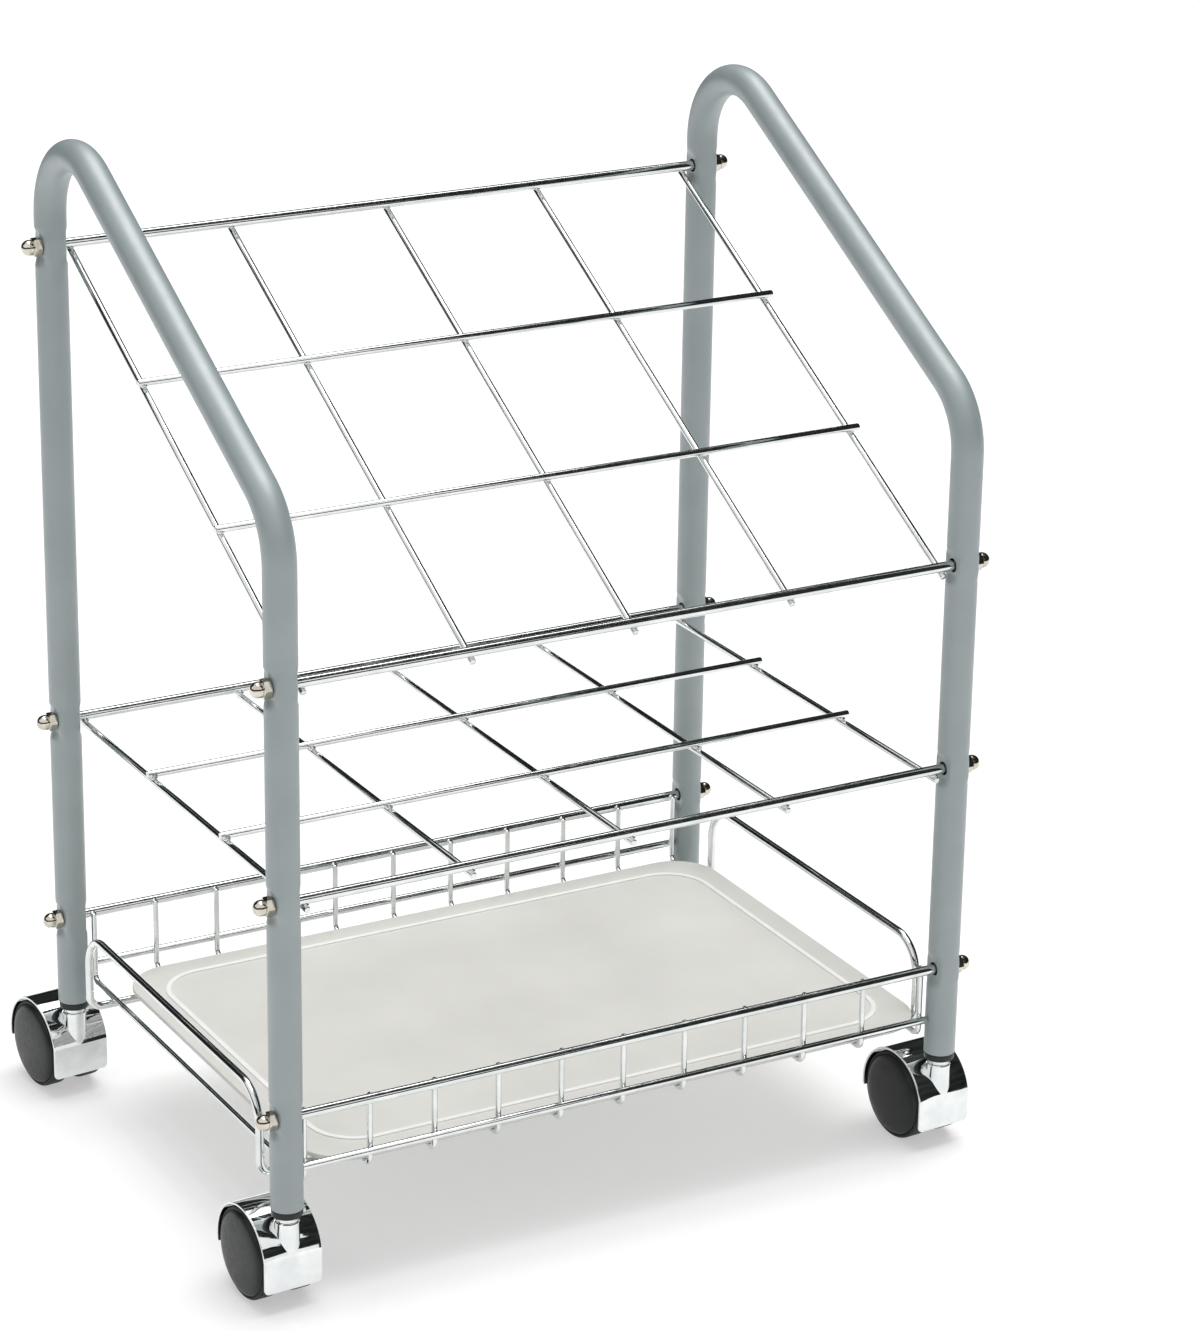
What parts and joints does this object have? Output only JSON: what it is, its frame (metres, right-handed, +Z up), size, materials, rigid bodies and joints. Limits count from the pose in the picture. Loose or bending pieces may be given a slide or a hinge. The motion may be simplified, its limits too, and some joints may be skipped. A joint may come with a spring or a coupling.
{
  "type": "mobile file cart",
  "caption": "Rolling cart for rolled drawings: bent tube side frames, slanted and level wire grids that form compartments, a wire basket with a plastic tray, and hooded swivel casters.",
  "frame": {"origin": "on the floor, under the centre of the bounding box", "axes": "+X to the right as seen from the low front side, +Y to the tall rear side, +Z up"},
  "size_m": [0.4832, 0.3716, 0.6169],
  "materials": {
    "tube_paint": "satin grey powder coat",
    "chrome_wire": "bright chrome-plated steel wire",
    "hood_chrome": "bright chrome plating",
    "nickel": "bright nickel plating, slightly warm",
    "tray_plastic": "light warm grey, softly glossy",
    "wheel_plastic": "dark grey, satin",
    "socket_plastic": "near black, matte"
  },
  "bodies": {
    "cart_frame": {"side_frame_left": "tube_paint", "side_frame_right": "tube_paint", "upper_rod_front": "chrome_wire", "upper_rod_rear": "chrome_wire", "upper_wire_front": "chrome_wire", "upper_wire_rear": "chrome_wire", "upper_cross_1": "chrome_wire", "upper_cross_2": "chrome_wire", "upper_cross_3": "chrome_wire", "upper_cross_4": "chrome_wire", "upper_cross_5": "chrome_wire", "middle_rod_front": "chrome_wire", "middle_rod_rear": "chrome_wire", "middle_wire_front": "chrome_wire", "middle_wire_rear": "chrome_wire", "middle_cross_1": "chrome_wire", "middle_cross_2": "chrome_wire", "middle_cross_3": "chrome_wire", "middle_cross_4": "chrome_wire", "middle_cross_5": "chrome_wire", "basket": "chrome_wire", "basket_hoop": "chrome_wire", "tray": "tray_plastic", "nut_left_basket_front": "nickel", "nut_left_basket_rear": "nickel", "nut_left_middle_front": "nickel", "nut_left_middle_rear": "nickel", "nut_left_upper_front": "nickel", "nut_left_upper_rear": "nickel", "nut_right_basket_front": "nickel", "nut_right_basket_rear": "nickel", "nut_right_middle_front": "nickel", "nut_right_middle_rear": "nickel", "nut_right_upper_front": "nickel", "nut_right_upper_rear": "nickel", "caster_front_left_socket": "socket_plastic", "caster_front_right_socket": "socket_plastic", "caster_rear_left_socket": "socket_plastic", "caster_rear_right_socket": "socket_plastic"},
    "front_left_caster": {"caster_front_left_stem": "chrome_wire", "caster_front_left_hood": "hood_chrome", "caster_front_left_axle": "chrome_wire"},
    "front_left_wheel_left": {"caster_front_left_wheel_left": "wheel_plastic"},
    "front_left_wheel_right": {"caster_front_left_wheel_right": "wheel_plastic"},
    "front_right_caster": {"caster_front_right_stem": "chrome_wire", "caster_front_right_hood": "hood_chrome", "caster_front_right_axle": "chrome_wire"},
    "front_right_wheel_left": {"caster_front_right_wheel_left": "wheel_plastic"},
    "front_right_wheel_right": {"caster_front_right_wheel_right": "wheel_plastic"},
    "rear_left_caster": {"caster_rear_left_stem": "chrome_wire", "caster_rear_left_hood": "hood_chrome", "caster_rear_left_axle": "chrome_wire"},
    "rear_left_wheel_left": {"caster_rear_left_wheel_left": "wheel_plastic"},
    "rear_left_wheel_right": {"caster_rear_left_wheel_right": "wheel_plastic"},
    "rear_right_caster": {"caster_rear_right_stem": "chrome_wire", "caster_rear_right_hood": "hood_chrome", "caster_rear_right_axle": "chrome_wire"},
    "rear_right_wheel_left": {"caster_rear_right_wheel_left": "wheel_plastic"},
    "rear_right_wheel_right": {"caster_rear_right_wheel_right": "wheel_plastic"}
  },
  "joints": [
    {"name": "front_left_swivel", "type": "hinge", "parent": "cart_frame", "child": "front_left_caster", "pos_m": [-0.21907, -0.17554, 0.055], "axis": [0, 0, 1], "continuous": true},
    {"name": "front_left_wheel_left_spin", "type": "hinge", "parent": "front_left_caster", "child": "front_left_wheel_left", "pos_m": [-0.22011, -0.15356, 0.0275], "axis": [0.9989, 0.0471, 0], "continuous": true},
    {"name": "front_left_wheel_right_spin", "type": "hinge", "parent": "front_left_caster", "child": "front_left_wheel_right", "pos_m": [-0.22011, -0.15356, 0.0275], "axis": [0.9989, 0.0471, 0], "continuous": true},
    {"name": "front_right_swivel", "type": "hinge", "parent": "cart_frame", "child": "front_right_caster", "pos_m": [0.21907, -0.17554, 0.055], "axis": [0, 0, 1], "continuous": true},
    {"name": "front_right_wheel_left_spin", "type": "hinge", "parent": "front_right_caster", "child": "front_right_wheel_left", "pos_m": [0.21781, -0.15357, 0.0275], "axis": [0.9983, 0.0576, 0], "continuous": true},
    {"name": "front_right_wheel_right_spin", "type": "hinge", "parent": "front_right_caster", "child": "front_right_wheel_right", "pos_m": [0.21781, -0.15357, 0.0275], "axis": [0.9983, 0.0576, 0], "continuous": true},
    {"name": "rear_left_swivel", "type": "hinge", "parent": "cart_frame", "child": "rear_left_caster", "pos_m": [-0.21907, 0.13286, 0.055], "axis": [0, 0, 1], "continuous": true},
    {"name": "rear_left_wheel_left_spin", "type": "hinge", "parent": "rear_left_caster", "child": "rear_left_wheel_left", "pos_m": [-0.22115, 0.15477, 0.0275], "axis": [0.9956, 0.0941, 0], "continuous": true},
    {"name": "rear_left_wheel_right_spin", "type": "hinge", "parent": "rear_left_caster", "child": "rear_left_wheel_right", "pos_m": [-0.22115, 0.15477, 0.0275], "axis": [0.9956, 0.0941, 0], "continuous": true},
    {"name": "rear_right_swivel", "type": "hinge", "parent": "cart_frame", "child": "rear_right_caster", "pos_m": [0.21907, 0.13286, 0.055], "axis": [0, 0, 1], "continuous": true},
    {"name": "rear_right_wheel_left_spin", "type": "hinge", "parent": "rear_right_caster", "child": "rear_right_wheel_left", "pos_m": [0.21907, 0.15486, 0.0275], "axis": [1, 0, 0], "continuous": true},
    {"name": "rear_right_wheel_right_spin", "type": "hinge", "parent": "rear_right_caster", "child": "rear_right_wheel_right", "pos_m": [0.21907, 0.15486, 0.0275], "axis": [1, 0, 0], "continuous": true}
  ]
}
